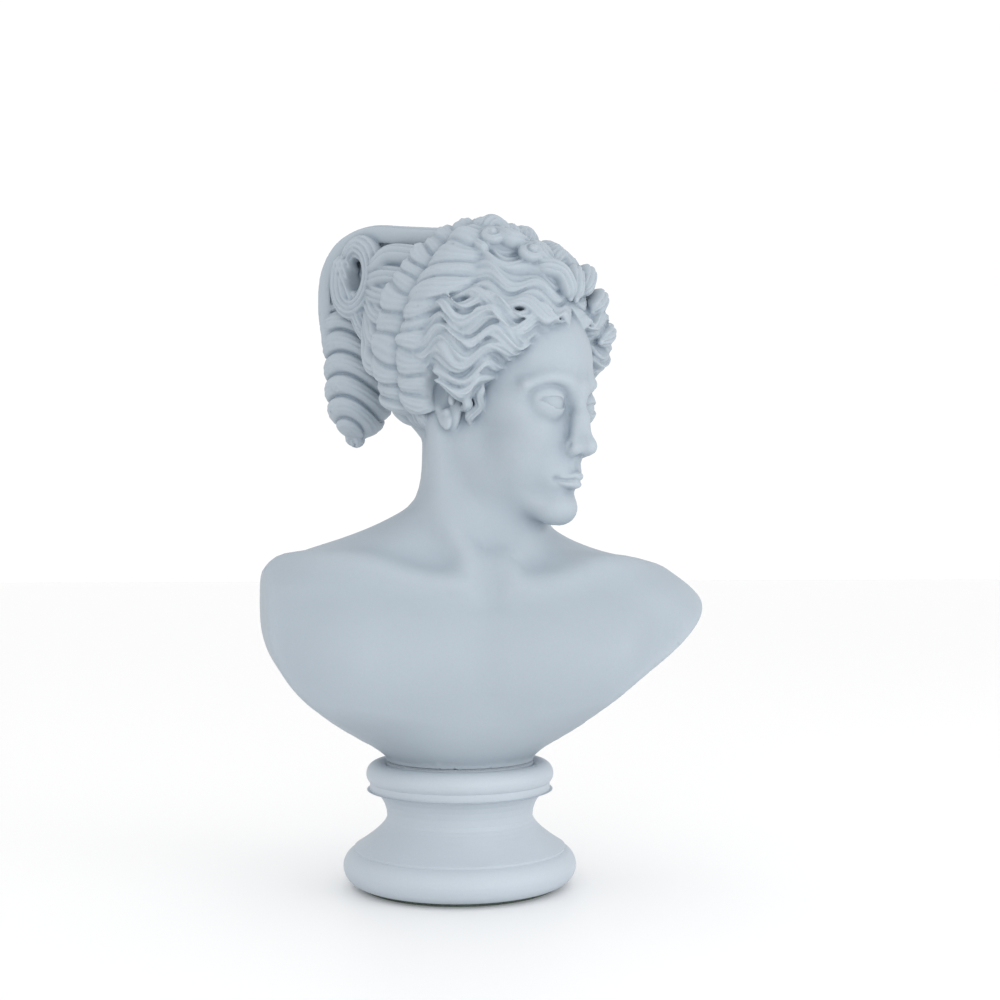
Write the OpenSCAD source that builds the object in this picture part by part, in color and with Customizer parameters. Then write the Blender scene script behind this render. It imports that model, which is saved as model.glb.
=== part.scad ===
// A classical portrait bust with a turned head, on a turned round socle.
// +Z is up and -Y is the front of the chest. The origin is on the socle's axis, on the
// underside of the felt pad. Millimetres.

/* [Carving] */
// Width across the cut shoulders
bust_w = 267; // [252:1:282]
// Depth from the chest to the hanging hair
bust_d = 164; // [154:1:174]
// Height from the seat on the socle to the topmost curl
bust_h = 328; // [307:1:347]
// Diameter of the stem's seat on the socle
seat_d = 88; // [84:1:92]

/* [Head] */
// Height of the bare head from chin to vertex
head_h = 138; // [130:1:146]
// Turn of the head towards the figure's left
head_turn = 45; // [36:1:54]
// Downward nod of the head
head_nod = 8; // [2:1:14]

/* [Socle] */
// Height of the socle, from the felt to the seat
socle_h = 71.5; // [68:0.5:76]
// Outside diameter of the base moulding
base_d = 139; // [132:1:146]
// Outside diameter of the collar moulding under the seat
collar_d = 112; // [108:1:116]
// Diameter of the waist between the two mouldings
waist_d = 87; // [82:1:92]

/* [Fixing] */
// Diameter of the threaded tie rod
rod_d = 12; // [8:0.5:12]
// Depth that the rod is set into the carving
rod_set = 90; // [60:5:100]
// Diameter of the recess for the nut, under the socle
recess_d = 38; // [37:0.5:40]
// Thickness of the felt pad
felt_t = 2; // [1:0.5:4]

/* [Hidden] */

stone = "#d3dbe2";
eps = 0.01;

// Heights, from the felt's underside upwards
socle_z = felt_t;
bedding_t = 0.8;
bedding_d = seat_d - 1;
bedding_z = socle_z + socle_h;
seat_z = bedding_z + bedding_t;

// Rod, nut and washers hang in the recess under the socle
rod_clear = 0.5;
resin_t = 2;
bore_d = rod_d + 2 * resin_t;
bore_depth = rod_set + 4;
recess_depth = 27;
recess_top = socle_z + recess_depth;
load_washer_d = 2.9 * rod_d;
load_washer_t = 3;
lock_washer_d = 1.75 * rod_d;
lock_washer_t = 2.5;
nut_af = 1.58 * rod_d;
nut_t = 0.85 * rod_d;
nut_z = recess_top - load_washer_t - lock_washer_t - nut_t;
rod_tail = 3;
thread_pitch = 1.75;
thread_depth = 0.8;
thread_run = 30;

// ---- Socle ---------------------------------------------------------------------------

// Base moulding: a half round whose underside is flat
base_bead_r = 10.2;
// Fillet step above the base moulding
step_r = base_d / 2 - 6.5;
step_z = 21;
// Collar: an upper bead over a narrow band
collar_bead_r = 7;
collar_z = socle_h - collar_bead_r;
band_r = collar_d / 2 - 2.2;
band_h = 6;
band_z = collar_z - 6.5 - band_h / 2;
// Hollow between the two: an upper quarter hollow and a longer lower sweep, which steepens
waist_r = waist_d / 2;
waist_z = 39;
hollow_r = band_z - waist_z;

module ring_bead(r, bead_r, z) {
    rotate_extrude($fn = 96) translate([r - bead_r, z]) circle(bead_r, $fn = 48);
}

// Half outline of the shaft between the base moulding and the collar
module shaft_outline() {
    sweep_w = step_r - waist_r;
    sweep_h = waist_z - step_z;
    function sweep(t) = [waist_r + sweep_w * pow(1 - t, 1.5), step_z + sweep_h * t];
    function hollow(i) = [waist_r + hollow_r * (1 - cos(i)) * 0.75, waist_z + hollow_r * sin(i)];
    polygon(concat(
        [[0, 0], [base_d / 2 - base_bead_r, 0], [step_r, base_bead_r], [step_r, step_z - 2]],
        [for (t = [0:0.125:1]) sweep(t)],
        [for (i = [15:15:90]) hollow(i)],
        [[band_r, band_z], [band_r, band_z + band_h], [seat_d / 2, collar_z],
         [seat_d / 2, socle_h], [0, socle_h]]));
}

module socle() {
    color(stone) translate([0, 0, socle_z]) difference() {
        union() {
            rotate_extrude($fn = 96) shaft_outline();
            ring_bead(base_d / 2, base_bead_r, base_bead_r);
            ring_bead(collar_d / 2, collar_bead_r, collar_z);
        }
        translate([0, 0, -eps]) cylinder(d = recess_d, h = recess_depth + eps, $fn = 96);
        cylinder(d = rod_d + 2 * rod_clear, h = socle_h + eps, $fn = 48);
    }
}

// ---- Fixing --------------------------------------------------------------------------

module bedding_ring() {
    color("#b9bcbc") translate([0, 0, bedding_z]) difference() {
        cylinder(d = bedding_d, h = bedding_t, $fn = 96);
        translate([0, 0, -eps]) cylinder(d = bore_d, h = bedding_t + 2 * eps, $fn = 48);
    }
}

// The thread is drawn as closed grooves at the thread's pitch
module tie_rod() {
    rod_z = nut_z - rod_tail;
    core_r = rod_d / 2 - thread_depth;
    color("#9aa0a6") translate([0, 0, rod_z]) union() {
        cylinder(r = core_r, h = 1, $fn = 48);
        for (i = [0:floor(thread_run / thread_pitch) - 1])
            translate([0, 0, 1 + i * thread_pitch]) {
                cylinder(r1 = core_r, r2 = rod_d / 2, h = thread_pitch / 2, $fn = 48);
                translate([0, 0, thread_pitch / 2])
                    cylinder(r1 = rod_d / 2, r2 = core_r, h = thread_pitch / 2, $fn = 48);
            }
        translate([0, 0, thread_run])
            cylinder(d = rod_d, h = seat_z + rod_set - rod_z - thread_run, $fn = 48);
    }
}

module anchor_resin() {
    color("#c9b487") translate([0, 0, seat_z]) difference() {
        cylinder(d = bore_d, h = bore_depth, $fn = 48);
        translate([0, 0, -eps]) cylinder(d = rod_d, h = rod_set + eps, $fn = 48);
    }
}

module load_washer() {
    color("#b4b8bb") translate([0, 0, recess_top - load_washer_t]) difference() {
        cylinder(d = load_washer_d, h = load_washer_t, $fn = 72);
        translate([0, 0, -eps])
            cylinder(d = rod_d + 2 * rod_clear, h = load_washer_t + 2 * eps, $fn = 48);
    }
}

// A split spring washer, flattened under the nut
module lock_washer() {
    gap = 2;
    color("#8d9296") translate([0, 0, nut_z + nut_t]) difference() {
        cylinder(d = lock_washer_d, h = lock_washer_t, $fn = 72);
        translate([0, 0, -eps])
            cylinder(d = rod_d + rod_clear, h = lock_washer_t + 2 * eps, $fn = 48);
        rotate([0, 0, 30]) translate([0, -gap / 2, -eps])
            cube([lock_washer_d, gap, lock_washer_t + 2 * eps]);
    }
}

module hex_nut() {
    chamfer = 1.2;
    corner_r = nut_af / 2 / cos(30);
    color("#a4a9ad") translate([0, 0, nut_z]) difference() {
        intersection() {
            cylinder(r = corner_r, h = nut_t, $fn = 6);
            union() {
                cylinder(r1 = nut_af / 2, r2 = corner_r + eps, h = chamfer, $fn = 72);
                translate([0, 0, chamfer])
                    cylinder(r = corner_r + eps, h = nut_t - 2 * chamfer, $fn = 72);
                translate([0, 0, nut_t - chamfer])
                    cylinder(r1 = corner_r + eps, r2 = nut_af / 2, h = chamfer, $fn = 72);
            }
        }
        translate([0, 0, -eps]) cylinder(d = rod_d + 0.1, h = nut_t + 2 * eps, $fn = 48);
    }
}

module felt_pad() {
    color("#5d6a60") cylinder(d = base_d - 2 * base_bead_r - 2, h = felt_t, $fn = 96);
}

// ---- Carving -------------------------------------------------------------------------

// One closed ring of a loft: a superellipse between its left, right, front and back
ring_n = 40;
function power(c, p) = sign(c) * pow(abs(c), 2 / p);
function ring(row) = let (
    cx = (row[1] + row[2]) / 2, rx = (row[2] - row[1]) / 2,
    cy = (row[3] + row[4]) / 2, ry = (row[4] - row[3]) / 2)
    [for (i = [0:ring_n - 1]) let (t = 360 * i / ring_n)
        [cx + rx * power(cos(t), row[5]), cy + ry * power(sin(t), row[5]), row[0]]];

// A solid through rows of [z, left, right, front, back, squareness]
module loft(rows) {
    m = len(rows);
    polyhedron(
        points = [for (row = rows) each ring(row)],
        faces = concat(
            [[for (i = [0:ring_n - 1]) i]],
            [for (k = [0:m - 2], i = [0:ring_n - 1]) let (j = (i + 1) % ring_n)
                [k * ring_n + i, (k + 1) * ring_n + i, (k + 1) * ring_n + j, k * ring_n + j]],
            [[for (i = [ring_n - 1:-1:0]) (m - 1) * ring_n + i]]));
}

seat_r = seat_d / 2;
// Stem, chest, shoulders and neck, as heights above the seat
chest_rows = [
    [0, -seat_r, seat_r, -seat_r, seat_r, 2],
    [5, -seat_r - 2, seat_r + 2, -seat_r - 3, seat_r, 2],
    [11, -54, 53, -54, 46, 2.1],
    [20, -70, 67, -63, 46, 2.2],
    [33, -88, 85, -71, 46, 2.3],
    [47, -103, 105, -75, 47, 2.4],
    [62, -113, 124, -75, 49, 2.5],
    [76, -118, 139, -72, 51, 2.5],
    [90, -119, 146, -64, 54, 2.4],
    [104, -119, 141, -57, 55, 2.3],
    [113, -118, 128, -52, 54, 2.2],
    [119, -108, 109, -47, 52, 2.1],
    [126, -90, 84, -43, 49, 2],
    [134, -66, 64, -40, 44, 2],
    [143, -45, 52, -39, 38, 2],
    [154, -28, 47, -40, 31, 2],
    [168, -21, 46, -43, 27, 2],
    [186, -18, 48, -46, 27, 2],
    [204, -17, 48, -46, 27, 2]];

module ellipsoid(at, radii) {
    translate(at) scale(radii) sphere(1, $fn = 36);
}

// Places a child from the head's own frame, whose origin is midway between the ears
head_at = [22, -17, 207.7];
module in_head_frame() {
    translate(head_at) rotate([0, 0, head_turn]) rotate([head_nod, 0, 0]) children();
}

module skull_and_face() {
    h = head_h;
    ellipsoid([0, 0.03 * h, 0.17 * h], [0.30 * h, 0.395 * h, 0.37 * h]);
    ellipsoid([0, -0.12 * h, -0.13 * h], [0.235 * h, 0.255 * h, 0.30 * h]);
    ellipsoid([0, -0.31 * h, -0.36 * h], [0.09 * h, 0.09 * h, 0.08 * h]);
    // Nose
    translate([0, -0.40 * h, -0.13 * h]) rotate([-12, 0, 0])
        cylinder(r1 = 0.06 * h, r2 = 0.025 * h, h = 0.25 * h, $fn = 24);
    // Brow
    for (side = [-1, 1])
        ellipsoid([side * 0.11 * h, -0.30 * h, 0.14 * h], [0.11 * h, 0.075 * h, 0.05 * h]);
    for (side = [-1, 1])
        ellipsoid([side * 0.32 * h, 0.055 * h, 0.01 * h], [0.035 * h, 0.075 * h, 0.13 * h]);
}

// A ridge of rolled hair over the crown, from ear to ear
module hair_ridge(at, radii, thick, lean) {
    translate(at) rotate([lean, 0, 0]) scale([radii[0], 1, radii[1]]) rotate([90, 0, 0])
        rotate_extrude($fn = 36)
            translate([1 - thick / radii[0], 0]) scale([1 / radii[0], 1]) circle(thick, $fn = 16);
}

// The gathered hair: a cap behind the slanting hairline, two rolls, the knot and its tail
module hair_mass() {
    intersection() {
        ellipsoid([0, 14, 34], [58, 68, 74]);
        rotate([-53, 0, 0]) translate([-80, -120, 0]) cube([160, 240, 130]);
    }
    hair_ridge([0, 16, 35], [61, 74], 9, 2);
    hair_ridge([0, 46, 36], [53, 68], 9, 22);
    ellipsoid([0, 76, 55], [30, 28, 36]);
    ellipsoid([0, 104, 68], [29, 38, 39]);
    ellipsoid([0, 112, 6], [22, 22, 42]);
    ellipsoid([0, 32, -8], [40, 28, 34]);
}

module bust() {
    color(stone) difference() {
        translate([0, 0, seat_z]) resize([bust_w, bust_d, bust_h]) union() {
            loft(chest_rows);
            in_head_frame() {
                skull_and_face();
                hair_mass();
            }
        }
        translate([0, 0, seat_z - eps]) cylinder(d = bore_d, h = bore_depth + eps, $fn = 48);
    }
}

bust();
socle();
bedding_ring();
tie_rod();
anchor_resin();
load_washer();
lock_washer();
hex_nut();
felt_pad();
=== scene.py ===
"""A marble portrait bust on a turned socle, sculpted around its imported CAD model.

The carving is one block of clay: a grid of distances to the surface, in millimetres in the
row's frame, that solids are added to and cut from. It is meshed once, at the end.
"""
import math

import bpy
import numpy as np
import openvdb
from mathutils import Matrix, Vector


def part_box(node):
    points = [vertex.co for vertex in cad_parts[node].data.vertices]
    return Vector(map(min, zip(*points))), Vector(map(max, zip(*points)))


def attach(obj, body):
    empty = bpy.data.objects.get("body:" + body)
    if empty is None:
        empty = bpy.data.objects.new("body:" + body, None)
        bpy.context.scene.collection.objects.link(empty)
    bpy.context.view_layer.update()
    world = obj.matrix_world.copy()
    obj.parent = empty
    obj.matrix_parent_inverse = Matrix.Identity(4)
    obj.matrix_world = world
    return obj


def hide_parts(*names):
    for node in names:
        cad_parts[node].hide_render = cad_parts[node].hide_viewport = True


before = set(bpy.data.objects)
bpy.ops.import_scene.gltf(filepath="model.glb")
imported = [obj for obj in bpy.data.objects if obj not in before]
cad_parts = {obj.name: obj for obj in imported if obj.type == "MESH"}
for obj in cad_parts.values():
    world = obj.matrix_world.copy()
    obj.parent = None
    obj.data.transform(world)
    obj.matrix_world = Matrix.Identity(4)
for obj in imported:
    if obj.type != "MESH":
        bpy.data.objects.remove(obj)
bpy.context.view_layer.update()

MM = 0.001
STEP = 0.7

# ---- Clay ----------------------------------------------------------------------------

# The distance that empty clay starts with
FAR = 40.0


class Place:
    """A frame of its own for a part of the carving; its x can be mirrored."""

    def __init__(self, origin=(0, 0, 0), axes=np.eye(3), side=1):
        self.origin = np.array(origin, np.float32)
        self.axes = np.array(axes, np.float32) * np.array([side, 1, 1], np.float32)

    def outwards(self, points):
        """Points of this frame, in the row's frame."""
        return np.asarray(points, np.float32) @ self.axes.T + self.origin

    def directions(self, vectors):
        """Directions of this frame, in the row's frame."""
        return np.asarray(vectors, np.float32) @ self.axes.T

    def inwards(self, x, y, z):
        """Grids of row-frame coordinates, in this frame."""
        x, y, z = x - self.origin[0], y - self.origin[1], z - self.origin[2]
        return [(a[0] * x + a[1] * y) + a[2] * z for a in self.axes.T]


def turned(about_x=0, about_y=0, about_z=0):
    """Axes turned by degrees, about x first, then y, then z."""
    axes = np.eye(3)
    for angle, i, j in ((about_x, 1, 2), (about_y, 2, 0), (about_z, 0, 1)):
        c, s = math.cos(math.radians(angle)), math.sin(math.radians(angle))
        turn = np.eye(3)
        turn[i, i], turn[i, j], turn[j, i], turn[j, j] = c, -s, s, c
        axes = turn @ axes
    return axes


ROW = Place()


def blend_in(field, distance, k):
    """Adds a solid to the field, in place, with a fillet about k wide."""
    h = np.maximum(k - np.abs(field - distance), 0)
    np.minimum(field, distance, out=field)
    field -= h * h * (0.25 / k)


def cut_out(field, distance, k):
    """Cuts a solid from the field, in place, with its edges rounded about k wide."""
    h = np.maximum(k - np.abs(field + distance), 0)
    np.maximum(field, -distance, out=field)
    field += h * h * (0.25 / k)


class Clay:
    """A grid of distances to the carving's surface, negative inside."""

    def __init__(self, low, high, step):
        self.low = np.array(low, float)
        self.step = step
        self.axes = [np.arange(a, b, step, dtype=np.float32) for a, b in zip(low, high)]
        self.field = np.full([len(axis) for axis in self.axes], FAR, np.float32)

    def window(self, points, reach):
        """The part of the field within reach of row-frame points, and its x, y and z."""
        low = (points.min(0) - reach - self.low) / self.step
        high = (points.max(0) + reach - self.low) / self.step
        cut = []
        for a, b, n in zip(low, high, self.field.shape):
            cut.append(slice(min(max(int(a), 0), n), min(max(int(b) + 2, 0), n)))
        x, y, z = (axis[part] for axis, part in zip(self.axes, cut))
        return self.field[tuple(cut)], x[:, None, None], y[None, :, None], z[None, None, :]

    def work(self, tool, shape, k, place):
        """Uses a tool on the clay that a shape can reach."""
        corners, distance = shape
        view, x, y, z = self.window(place.outwards(corners), k + 2 * self.step)
        if view.size:
            tool(view, distance(*place.inwards(x, y, z)), k)

    def add(self, shape, k=1.0, place=ROW):
        """Adds a shape."""
        self.work(blend_in, shape, k, place)

    def cut(self, shape, k=1.0, place=ROW):
        """Cuts a shape away."""
        self.work(cut_out, shape, k, place)


def sample(clay, points, field=None):
    """The clay's field, or another on its grid, at points in millimetres."""
    field = clay.field if field is None else field
    at = (points - clay.low) / clay.step
    at = np.clip(at, 0, np.array(field.shape) - 1.001)
    i = at.astype(int)
    f = at - i
    result = 0
    for corner in range(8):
        bit = np.array([corner >> 2 & 1, corner >> 1 & 1, corner & 1])
        weight = np.prod(np.where(bit, f, 1 - f), axis=1)
        j = i + bit
        result = result + weight * field[j[:, 0], j[:, 1], j[:, 2]]
    return result


def corners_of(low, high):
    """The eight corners of a box."""
    return np.array([[x, y, z] for x in (low[0], high[0]) for y in (low[1], high[1])
                     for z in (low[2], high[2])], np.float32)


def ball(centre, radii, axes=np.eye(3)):
    """An ellipsoid, whose own axes may be turned."""
    radii = np.array(radii if np.ndim(radii) else [radii] * 3, np.float32)
    own = Place(centre, axes)
    box = own.outwards(corners_of(-radii, radii))

    def distance(x, y, z):
        x, y, z = (c / r for c, r in zip(own.inwards(x, y, z), radii))
        near = np.sqrt(x * x + y * y + z * z) + 1e-6
        x, y, z = x / radii[0], y / radii[1], z / radii[2]
        return near * (near - 1) / (np.sqrt(x * x + y * y + z * z) + 1e-6)
    return corners_of(box.min(0), box.max(0)), distance


def rod(a, b, ra, rb=None):
    """A straight rod with round ends, whose radius runs from ra to rb."""
    a, b = np.array(a, np.float32), np.array(b, np.float32)
    rb = ra if rb is None else rb
    along = b - a
    low = np.minimum(a - ra, b - rb)
    high = np.maximum(a + ra, b + rb)

    def distance(x, y, z):
        x, y, z = x - a[0], y - a[1], z - a[2]
        t = np.clip((x * along[0] + y * along[1] + z * along[2]) / (along @ along), 0, 1)
        x, y, z = x - t * along[0], y - t * along[1], z - t * along[2]
        return np.sqrt(x * x + y * y + z * z) - (ra + (rb - ra) * t)
    return corners_of(low, high), distance


def tube(points, radii):
    """A bent tube through points, with a radius at each."""
    pieces = [rod(a, b, ra, rb) for a, b, ra, rb
              in zip(points[:-1], points[1:], radii[:-1], radii[1:])]
    box = np.concatenate([piece[0] for piece in pieces])

    def distance(x, y, z):
        result = pieces[0][1](x, y, z)
        for piece in pieces[1:]:
            np.minimum(result, piece[1](x, y, z), out=result)
        return result
    return corners_of(box.min(0), box.max(0)), distance


def smooth_curve(points, count):
    """Points along a Catmull-Rom curve through the given ones."""
    p = np.array(points, float)
    p = np.concatenate([[2 * p[0] - p[1]], p, [2 * p[-1] - p[-2]]])
    t = np.linspace(0, len(p) - 3 - 1e-9, count)
    i = t.astype(int)
    f = (t - i)[:, None] if p.ndim > 1 else t - i
    a, b, c, d = p[i], p[i + 1], p[i + 2], p[i + 3]
    return b + 0.5 * f * (c - a + f * (2 * a - 5 * b + 4 * c - d + f * (3 * (b - c) + d - a)))


def ease(t):
    """Runs smoothly from 0 to 1 as t does."""
    t = np.clip(t, 0, 1)
    return t * t * (3 - 2 * t)


# ---- Torso ---------------------------------------------------------------------------

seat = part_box("bust")[0][2] / MM

# Rings of the uncut body: height above the seat, left, right, front, back, squareness
BODY = [(-8, -66, 66, -50, 50, 2.2), (8, -82, 80, -54, 50, 2.3), (20, -98, 96, -58, 48, 2.4),
        (34, -116, 114, -62, 46, 2.4), (50, -128, 134, -65, 46, 2.4), (66, -134, 148, -65, 48, 2.4),
        (82, -135, 151, -61, 50, 2.4), (96, -132, 148, -56, 52, 2.3), (106, -126, 139, -52, 53, 2.3),
        (114, -117, 126, -48, 53, 2.2), (120, -106, 108, -45, 52, 2.1), (126, -90, 84, -42, 49, 2),
        (134, -66, 64, -39, 44, 2), (143, -45, 52, -38, 38, 2), (154, -28, 46, -39, 31, 2),
        (168, -21, 44, -42, 26, 2), (186, -19, 44, -45, 26, 2), (204, -18, 42, -45, 26, 2)]
# The sweep that the body is cut to: height above the seat, left, right, widening to the back
SWEEP = [(-8, -64, 60, 0), (11, -67, 62, 0), (20, -74, 66, 0), (33, -87, 74.5, 0), (47, -101, 92, 0.01),
         (62, -110.5, 114, 0.02), (76, -114.5, 131.5, 0.03), (90, -115, 144.5, 0.04),
         (110, -114.5, 151, 0.05), (140, -114, 160, 0.05), (220, -114, 160, 0.05)]
# The bell that rounds its foot into a stem: height above the seat, half width, half depth
STEM = [(-8, 43.8, 43.8), (0, 43.8, 43.8), (4, 45.8, 45.5), (11, 56, 52), (18, 72, 60), (25, 92, 70),
        (33, 118, 84), (45, 160, 110), (60, 220, 150)]


# Rings flatter than this per millimetre aren't stretched any further
SHALLOWEST = 0.004


def column(rows, index, heights):
    """One column of a table of rows, smoothed between its heights."""
    rows = np.array(rows, float)
    dense = smooth_curve(rows[:, [0, index]], 12 * len(rows))
    return np.interp(heights, dense[:, 0], dense[:, 1]).astype(np.float32)


def in_millimetres(ring, step):
    """Roughly the distance to the surface where a ring's value is 0."""
    steep = np.sqrt(sum(part * part for part in np.gradient(ring, step)))
    return ring / np.maximum(steep, SHALLOWEST)


def body_block(clay):
    """The uncut body as a loft of its rings, up to the neck."""
    top = np.array([[-140, -80, seat - 6], [170, 70, seat + 204]], np.float32)
    view, x, y, z = clay.window(top, 0)
    height = z.ravel() - seat
    left, right, front, back, power = (column(BODY, i, height) for i in range(1, 6))
    u = np.abs((x - (left + right) / 2) / ((right - left) / 2))
    v = np.abs((y - (front + back) / 2) / ((back - front) / 2))
    ring = (u ** power + v ** power) ** (1 / power) - 1
    np.copyto(view, in_millimetres(ring, clay.step))


def sweep_cut(clay):
    """Cuts the body to its sweep."""
    reach = np.array([[-150, -85, seat - 2], [170, 85, seat + 130]], np.float32)
    view, x, y, z = clay.window(reach, 0)
    height = z.ravel() - seat
    lean = column(SWEEP, 3, height) * (y + 50)
    for column_index, way in ((1, -1), (2, 1)):
        edge = column(SWEEP, column_index, height)
        tilt = np.sqrt(1 + np.gradient(edge, clay.step) ** 2)
        cut_out(view, (way * (edge - x) + lean) / tilt, 2.5)


def stem_cut(clay):
    """Rounds the foot of the body into a stem that flares from the seat."""
    reach = np.array([[-140, -85, seat - 6], [155, 85, seat + 56]], np.float32)
    view, x, y, z = clay.window(reach, 0)
    width, depth = (column(STEM, i, z.ravel() - seat) for i in (1, 2))
    ring = np.sqrt((x / width) ** 2 + (y / depth) ** 2) - 1
    cut_out(view, -in_millimetres(ring, clay.step), 9.0)


def chest_and_neck(clay):
    """Muscles and hollows of the chest, shoulders and neck, in the row's frame."""
    notch = (8, -49, seat + 104)
    mastoid = [tuple(HEAD.outwards([side * 0.29 * H, 0.12 * H, -0.06 * H])) for side in (-1, 1)]
    clay.add(tube(smooth_curve([mastoid[0], (-14, -33, seat + 150), (-3, -46, seat + 118), notch], 14),
                  np.linspace(6, 2.5, 14)), 18)
    clay.add(tube(smooth_curve([mastoid[1], (36, -26, seat + 140), (20, -43, seat + 116), notch], 12),
                  np.linspace(6, 2.5, 12)), 18)
    # Collar bones
    clay.add(tube(smooth_curve([(0, -51, seat + 104), (-35, -47, seat + 110), (-72, -33, seat + 117),
                                (-104, -10, seat + 114)], 14), np.linspace(3.5, 5, 14)), 15)
    clay.add(tube(smooth_curve([(17, -50, seat + 104), (48, -46, seat + 108), (84, -32, seat + 114),
                                (116, -8, seat + 106)], 14), np.linspace(3.5, 5, 14)), 15)
    # Pit of the neck, and the hollows behind the collar bones
    clay.cut(ball((8, -63.5, seat + 108), (8, 9, 11)), 16)
    clay.cut(ball((-34, -56, seat + 130), (20, 9, 8), turned(about_y=20)), 16)
    clay.cut(ball((50, -54, seat + 128), (18, 8, 7), turned(about_y=-25)), 16)
    # Breast bone groove and breasts
    clay.cut(rod((7, -77, seat + 88), (3, -79, seat + 44), 9, 7), 13)
    for x in (-50, 54):
        clay.add(ball((x, -40, seat + 62), (42, 24, 30)), 22)
    # Crease between the chest and the left arm
    clay.cut(rod((118, -62, seat + 84), (100, -72, seat + 50), 14, 8), 16)
    # Shoulder blades and the groove of the spine
    for x in (-52, 58):
        clay.add(ball((x, 34, seat + 88), (34, 22, 36)), 16)
    clay.cut(rod((2, 66, seat + 20), (5, 60, seat + 126), 12, 9), 16)


# ---- Head ----------------------------------------------------------------------------

# Height of the bare head, chin to vertex; the head's own frame starts between the ears
H = 138.0
HEAD = Place((22, -17, seat + 207.7), turned(about_x=8, about_z=45))


def h(*values):
    """Fractions of the head's height, in millimetres."""
    return tuple(value * H for value in values)


def face_mass(clay):
    """Skull, jaw, chin, cheeks and the neck's root."""
    add = lambda shape, k: clay.add(shape, k * H, HEAD)
    add(ball(h(0, 0.03, 0.17), h(0.298, 0.395, 0.37)), 0.06)
    add(ball(h(0, -0.12, -0.13), h(0.232, 0.255, 0.29)), 0.10)
    add(ball(h(0, -0.165, 0.22), h(0.235, 0.21, 0.23)), 0.06)
    add(ball(h(0, -0.335, -0.375), h(0.075, 0.068, 0.066)), 0.06)
    for side in (-1, 1):
        add(rod(h(side * 0.215, 0.0, -0.15), h(side * 0.165, -0.10, -0.275), 0.055 * H), 0.07)
        add(rod(h(side * 0.165, -0.10, -0.275), h(side * 0.05, -0.325, -0.385), 0.055 * H,
                0.052 * H), 0.06)
        add(ball(h(side * 0.15, -0.245, -0.075), h(0.088, 0.095, 0.10)), 0.08)
        add(ball(h(side * 0.145, -0.195, -0.20), h(0.085, 0.10, 0.11)), 0.08)
        add(ball(h(side * 0.21, -0.16, 0.02), h(0.06, 0.10, 0.07)), 0.08)
    # Neck, up into the skull
    clay.add(rod(tuple(HEAD.outwards(h(0, 0.10, -0.10))), (12, -9, seat + 150), 32, 33), 14)


def brow_and_sockets(clay):
    """Eye sockets and the arches over them."""
    for side in (-1, 1):
        clay.cut(ball(h(side * 0.128, -0.425, 0.035), h(0.088, 0.062, 0.052)), 0.055 * H, HEAD)
        clay.cut(ball(h(side * 0.06, -0.43, 0.03), h(0.03, 0.05, 0.045)), 0.04 * H, HEAD)
        arch = smooth_curve([h(side * 0.035, -0.372, 0.112), h(side * 0.10, -0.370, 0.142),
                             h(side * 0.165, -0.336, 0.146), h(side * 0.226, -0.265, 0.108)], 14)
        clay.add(tube(arch, np.linspace(0.017, 0.012, 14) * H), 0.06 * H, HEAD)


def eyes(clay):
    """Eyeballs under two lids, whose opening is an almond."""
    for side in (-1, 1):
        eye = Place(HEAD.outwards(h(side * 0.128, -0.292, 0.045)),
                    HEAD.axes @ turned(about_z=side * 12), side)
        opening_w, up, down = h(0.069, 0.030, 0.018)

        def lids(x, y, z):
            """A thin shell over the eyeball, open between two curved edges."""
            shell = np.sqrt(x * x + y * y + z * z) - 0.089 * H
            across = np.clip((x + 0.004 * H) / opening_w, -1, 1)
            span = np.maximum(1 - across * across, 0)
            middle = 0.006 * H * across
            rim = np.maximum(z - middle - up * span ** 0.75, middle - down * span - z)
            wide = np.abs(x + 0.004 * H) - opening_w
            opening = np.maximum(rim * 0.8, wide)
            return np.maximum(shell, -opening)

        reach = corners_of(h(-0.095, -0.095, -0.06), h(0.095, 0.0, 0.06))
        clay.add((reach, lids), 0.013 * H, eye)
        clay.add(ball((0, 0, 0), 0.078 * H), 0.005 * H, eye)
        # Crease over the upper lid
        fold = smooth_curve([h(-0.066, -0.062, 0.022), h(-0.035, -0.085, 0.042), h(0.005, -0.091, 0.047),
                             h(0.045, -0.078, 0.039), h(0.074, -0.05, 0.016)], 14)
        clay.cut(tube(fold, np.full(14, 0.0045 * H)), 0.018 * H, eye)


def nose(clay):
    """Bridge, tip, wings and nostrils."""
    add = lambda shape, k: clay.add(shape, k * H, HEAD)
    add(tube(smooth_curve([h(0, -0.372, 0.115), h(0, -0.385, 0.05), h(0, -0.415, -0.03),
                           h(0, -0.450, -0.10)], 14), np.linspace(0.027, 0.024, 14) * H), 0.045)
    add(ball(h(0, -0.449, -0.116), h(0.033, 0.036, 0.031)), 0.035)
    add(rod(h(0, -0.440, -0.140), h(0, -0.405, -0.157), 0.012 * H, 0.015 * H), 0.02)
    for side in (-1, 1):
        add(ball(h(side * 0.043, -0.404, -0.130), h(0.024, 0.036, 0.026)), 0.030)
        add(rod(h(side * 0.02, -0.40, 0.0), h(side * 0.036, -0.405, -0.10), 0.02 * H), 0.04)
        clay.cut(ball(h(side * 0.026, -0.430, -0.160), h(0.010, 0.020, 0.013)), 0.010 * H, HEAD)
        # Fold between the wing and the cheek
        clay.cut(tube(smooth_curve([h(side * 0.064, -0.40, -0.112), h(side * 0.075, -0.394, -0.134),
                                    h(side * 0.072, -0.385, -0.158)], 8),
                      np.full(8, 0.004 * H)), 0.02 * H, HEAD)


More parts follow.
